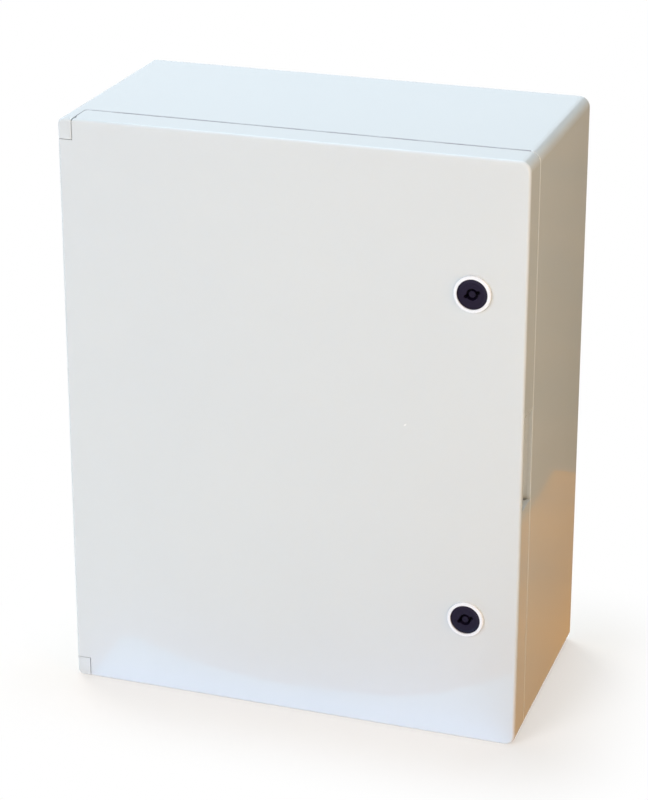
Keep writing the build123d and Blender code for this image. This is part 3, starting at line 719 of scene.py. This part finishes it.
class CABINET_OT_lock_fixings(bpy.types.Operator):
    """Make the nut and the cam screw of each lock"""

    bl_idname = "cabinet.lock_fixings"
    bl_label = "Make Lock Fixings"

    def execute(self, context):
        fixings = context.scene.cabinet_fixings
        zinc = zinc_plate(context.scene.cabinet_finish)
        shank = fixings.cam_shank / 2
        bore, cut = fixings.nut_bore / 2, fixings.bore_chamfer
        for end in ENDS:
            low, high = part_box(f"{end}_cam_screw")
            axis = (low + high) / 2
            seat = high.y - fixings.cam_head
            tip = low.y - seat
            rings = hexagon_head(fixings, fixings.cam_flats, fixings.cam_head, 0.0)
            rings += [(shank, 0.0), (shank, tip), (0.0, tip)]
            screw = around_axis((axis.x, 0.0, axis.z), rings, fixings.steps)
            # This head looks to the back, so its heights are turned to run along +Y
            screw[..., 1] = seat - screw[..., 1]
            grid_piece(f"{end}_hexagon_screw", [screw], zinc, f"{end}_lock", "zinc_steel",
                       f"{end}_cam_screw")
            low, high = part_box(f"{end}_lock_nut")
            thick = high.y - low.y
            flats = high.x - low.x
            side = hexagon(flats, fixings.steps)
            crown = fixings.nut_crown * flats / 2
            fall = (side - crown) * math.tan(fixings.chamfer)
            rings = [(bore, cut), (bore + cut, 0.0), (crown, 0.0), (side, fall),
                     (side, thick - fall), (crown, thick), (bore + cut, thick),
                     (bore, thick - cut), (bore, cut)]
            nut = around_axis((axis.x, high.y, axis.z), rings, fixings.steps)
            grid_piece(f"{end}_hexagon_nut", [nut], zinc, "door_assembly", "zinc_steel",
                       f"{end}_lock_nut")
        return {"FINISHED"}


# Stage

def flat(corners, level):
    """Corners of a level sheet: X and Y as given, Z at that level from the foot of the cabinet."""
    return [(x, y, CAD_BOX[0].z + level) for x, y in corners]


# Sheets on the ground lie a little under the cabinet, and apart, so that none hides another
SEEN_LEVEL = -0.2 * MM
CARD_LEVEL = -0.4 * MM
GLOW_LEVEL = -0.5 * MM
BOUNCE_LEVEL = -0.6 * MM

# Corners of the sheets in metres, X and Y, and of the upright card also Z
GROUND = ((-6.0, -6.0), (6.0, -6.0), (6.0, 6.0), (-6.0, 6.0))
SILL_EDGE = (
    (-0.183, CAD_BOX[0].y), (-0.187, -0.172), (-0.178, -0.179), (-0.117, -0.154), (-0.072, -0.145),
    (-0.028, -0.139), (0.026, -0.141), (0.079, -0.148), (0.115, -0.168), (0.15, -0.204),
    (0.2, -0.27),
)
SILL = (*SILL_EDGE, (0.2, CAD_BOX[0].y))
BEFORE_SILL = (*SILL_EDGE, (0.2, -3.0), (-2.0, -3.0), (-2.0, CAD_BOX[0].y))
FOOT_STRIP = ((0.196, -0.3), (0.296, -0.3), (0.296, 0.46), (0.196, 0.46))
BESIDE_STRIP = ((0.296, -0.3), (2.0, -0.3), (2.0, 3.0), (0.196, 3.0), (0.196, 0.46), (0.296, 0.46))
UPRIGHT = ((0.25, 1.6, 0.0), (3.0, 1.6, 0.0), (3.0, 1.6, 1.3), (0.25, 1.6, 1.3))

# Cards: corners, tint and shade by their names in the settings, strength, whether they light the
# cabinet, and whether its gloss mirrors them
CARDS = {
    "front_card": (flat(BEFORE_SILL, CARD_LEVEL), "front_card", "front_card", 1.0, False, True),
    "sill_card": (flat(SILL, CARD_LEVEL), "sill_card", "sill_card", 1.6, False, True),
    "sill_glow": (flat(SILL, GLOW_LEVEL), "sill_glow", "sill_glow", 1.4, True, False),
    "foot_card": (flat(FOOT_STRIP, CARD_LEVEL), "foot_card", "foot_shade", 0.94, True, True),
    "side_card": (flat(BESIDE_STRIP, CARD_LEVEL), "side_card", "side_shade", 1.0, True, True),
    "wall_card": (UPRIGHT, "side_card", "side_shade", 1.0, False, True),
}

# Lamps by their names in the settings: place and size in metres, and whether gloss mirrors them
SOFTBOXES = {
    "key": ((-1.3, -3.0, 1.9), 1.6, False),
    "top": ((-0.1, 0.6, 2.3), 1.6, True),
    "back": ((-2.0, 1.7, 1.1), 1.6, False),
    "side": ((1.6, -0.85, 0.75), 1.0, True),
    "fill": ((2.2, -3.5, 0.7), 1.8, False),
}


def seen_rays(tree):
    """1 for camera, glossy and transmission rays, 0 for the light that falls on the cabinet."""
    path = add(tree, "LightPath")
    glossy = add(tree, "Math", {0: path.outputs["Is Camera Ray"], 1: path.outputs["Is Glossy Ray"]},
                 operation="MAXIMUM")
    return add(tree, "Math", {0: glossy.outputs[0], 1: path.outputs["Is Transmission Ray"]},
               operation="MAXIMUM").outputs[0]


def pale_floor(stage, tint):
    """Matt pale floor that keeps the shadow near the cabinet and fades to plain white far off.

    The distance is the length of max(|place| - the cabinet's high corner, 0).
    """
    material, tree = blank("Matt_pale_floor")
    place = add(tree, "TexCoord").outputs["Object"]
    beside = add(tree, "VectorMath", {0: place}, operation="ABSOLUTE")
    beside = add(tree, "VectorMath", {0: beside.outputs[0], 1: CAD_BOX[1]}, operation="SUBTRACT")
    beside = add(tree, "VectorMath", {0: beside.outputs[0], 1: (0.0, 0.0, 0.0)},
                 operation="MAXIMUM")
    far = add(tree, "VectorMath", {0: beside.outputs[0]}, operation="LENGTH").outputs["Value"]
    fade = add(tree, "MapRange", {"Value": far, "From Max": stage.fade, "To Min": stage.fade_start},
               interpolation_type="SMOOTHSTEP")
    faded = add(tree, "Math", {0: fade.outputs[0], 1: seen_rays(tree)}, operation="MULTIPLY")
    matt = add(tree, "BsdfDiffuse", {"Color": tint})
    white = add(tree, "Emission", {"Color": WHITE, "Strength": 1.0})
    mixed = add(tree, "MixShader", {0: faded.outputs[0], 1: matt.outputs[0], 2: white.outputs[0]})
    add(tree, "OutputMaterial", {"Surface": mixed.outputs[0]})
    return material


def sheet(name, corners, material):
    """Flat stage sheet with these corners."""
    mesh = bpy.data.meshes.new(name)
    mesh.from_pydata(corners, [], [range(len(corners))])
    mesh.materials.append(material)
    made = bpy.data.objects.new(name, mesh)
    bpy.context.scene.collection.objects.link(made)
    return made


def card(stage, name):
    """Lit card, cloudy from its tint to its shade, that the camera never sees."""
    corners, tint, shade, strength, lights, mirrored = CARDS[name]
    material, tree = blank(f"Lit_{name}")
    place = add(tree, "TexCoord").outputs["Object"]
    clouds = add(tree, "TexNoise", {"Vector": place, "Scale": 1.0 / stage.card_clouds,
                                    "Detail": 3.0})
    blend = add(tree, "MapRange", {"Value": clouds.outputs["Fac"], "From Min": 0.38,
                                   "From Max": 0.62})
    cloudy = add(tree, "Mix", {0: blend.outputs[0], 6: getattr(stage, tint)[:],
                               7: getattr(stage, shade)[:]}, data_type="RGBA")
    glow = add(tree, "Emission", {"Color": cloudy.outputs[2], "Strength": strength})
    add(tree, "OutputMaterial", {"Surface": glow.outputs[0]})
    made = sheet(name, corners, material)
    made.visible_camera = False
    made.visible_shadow = False
    made.visible_diffuse = lights
    made.visible_glossy = mirrored


def softbox(stage, name, aim):
    """Square area lamp, turned to its aim and hidden from the camera."""
    place, size, mirrored = SOFTBOXES[name]
    lamp = bpy.data.lights.new(f"{name}_softbox", "AREA")
    lamp.shape = "SQUARE"
    lamp.size = size
    lamp.energy = getattr(stage, f"{name}_power")
    lamp.color = getattr(stage, name)[:3]
    made = bpy.data.objects.new(f"{name}_softbox", lamp)
    bpy.context.scene.collection.objects.link(made)
    made.location = place
    made.rotation_mode = "QUATERNION"
    made.rotation_quaternion = (aim - Vector(place)).to_track_quat("-Z", "Y")
    made.visible_camera = False
    made.visible_glossy = mirrored


def studio(stage):
    """World that is plain white where it is seen or mirrored, and a weak even light elsewhere."""
    world = bpy.data.worlds.new("studio")
    world.use_nodes = True
    tree = world.node_tree
    tree.nodes.clear()
    seen = seen_rays(tree)
    around = add(tree, "Mix", {0: seen, 6: stage.ambient[:], 7: WHITE}, data_type="RGBA")
    level = add(tree, "MapRange", {"Value": seen, "To Min": stage.ambient_level, "To Max": 1.0})
    light = add(tree, "Background", {"Color": around.outputs[2], "Strength": level.outputs[0]})
    add(tree, "OutputWorld", {"Surface": light.outputs[0]})
    return world


def front_camera(stage, middle):
    """Camera at the photograph's viewing angle.

    Its place is middle + distance * back - slide * right + raise * up, and back is
    (sin azimuth * cos elevation, -cos azimuth * cos elevation, sin elevation).
    """
    back = Vector((math.sin(stage.azimuth) * math.cos(stage.elevation),
                   -math.cos(stage.azimuth) * math.cos(stage.elevation),
                   math.sin(stage.elevation)))
    turn = (-back).to_track_quat("-Z", "Y")
    right, up = turn @ Vector((1, 0, 0)), turn @ Vector((0, 1, 0))
    camera = bpy.data.objects.new("camera", bpy.data.cameras.new("camera"))
    bpy.context.scene.collection.objects.link(camera)
    camera.location = middle + back * stage.distance - right * stage.slide + up * stage.raise_up
    camera.rotation_mode = "QUATERNION"
    camera.rotation_quaternion = turn
    camera.data.lens = stage.lens
    camera.data.shift_y = stage.shift
    return camera


class CABINET_OT_stage(bpy.types.Operator):
    """Set the floor, the cards, the lamps, the world and the camera"""

    bl_idname = "cabinet.stage"
    bl_label = "Set Stage"

    def execute(self, context):
        scene = context.scene
        stage = scene.cabinet_stage
        scene.view_settings.view_transform = "Standard"
        low, high = CAD_BOX
        middle = Vector((0.0, (FRONT + high.y) / 2, (low.z + high.z) / 2))
        seen = sheet("floor", flat(GROUND, SEEN_LEVEL), pale_floor(stage, stage.floor))
        seen.visible_diffuse = seen.visible_glossy = seen.visible_shadow = False
        bounce = sheet("bounce_floor", flat(GROUND, BOUNCE_LEVEL), pale_floor(stage, stage.bounce))
        bounce.visible_camera = False
        for name in CARDS:
            card(stage, name)
        for name in SOFTBOXES:
            softbox(stage, name, middle)
        scene.world = studio(stage)
        scene.camera = front_camera(stage, middle)
        return {"FINISHED"}


# Panel and registration

class CABINET_PT_looks(bpy.types.Panel):
    """Operators and settings of the cabinet's looks"""

    bl_label = "Distribution Cabinet"
    bl_idname = "CABINET_PT_looks"
    bl_space_type = "VIEW_3D"
    bl_region_type = "UI"
    bl_category = "Cabinet"

    def draw(self, context):
        column = self.layout.column()
        for operator in OPERATORS:
            column.operator(operator.bl_idname)
        for name, group in SETTINGS.items():
            column.label(text=group.__doc__)
            for prop in group.__annotations__:
                column.prop(getattr(context.scene, name), prop)


SETTINGS = {
    "cabinet_finish": CabinetFinish,
    "cabinet_wear": CabinetShadeAndWear,
    "cabinet_seal": CabinetSeal,
    "cabinet_land": CabinetLand,
    "cabinet_fixings": CabinetFixings,
    "cabinet_stage": CabinetStage,
}
OPERATORS = (
    CABINET_OT_shells,
    CABINET_OT_locks,
    CABINET_OT_metal,
    CABINET_OT_seal,
    CABINET_OT_notch_land,
    CABINET_OT_plate_screws,
    CABINET_OT_lock_fixings,
    CABINET_OT_stage,
)


def register():
    """Register the settings, the operators and the panel."""
    for group in SETTINGS.values():
        bpy.utils.register_class(group)
    for name, group in SETTINGS.items():
        setattr(bpy.types.Scene, name, PointerProperty(type=group))
    for made in (*OPERATORS, CABINET_PT_looks):
        bpy.utils.register_class(made)


def unregister():
    """Take them out again, in the opposite order."""
    for made in reversed((*OPERATORS, CABINET_PT_looks)):
        bpy.utils.unregister_class(made)
    for name, group in reversed(SETTINGS.items()):
        delattr(bpy.types.Scene, name)
        bpy.utils.unregister_class(group)


def main():
    """Register the add-on, dress the cabinet and set the stage."""
    register()
    bpy.ops.cabinet.shells()
    bpy.ops.cabinet.locks()
    bpy.ops.cabinet.metal()
    bpy.ops.cabinet.seal()
    bpy.ops.cabinet.notch_land()
    bpy.ops.cabinet.plate_screws()
    bpy.ops.cabinet.lock_fixings()
    bpy.ops.cabinet.stage()


if __name__ == "__main__":
    main()
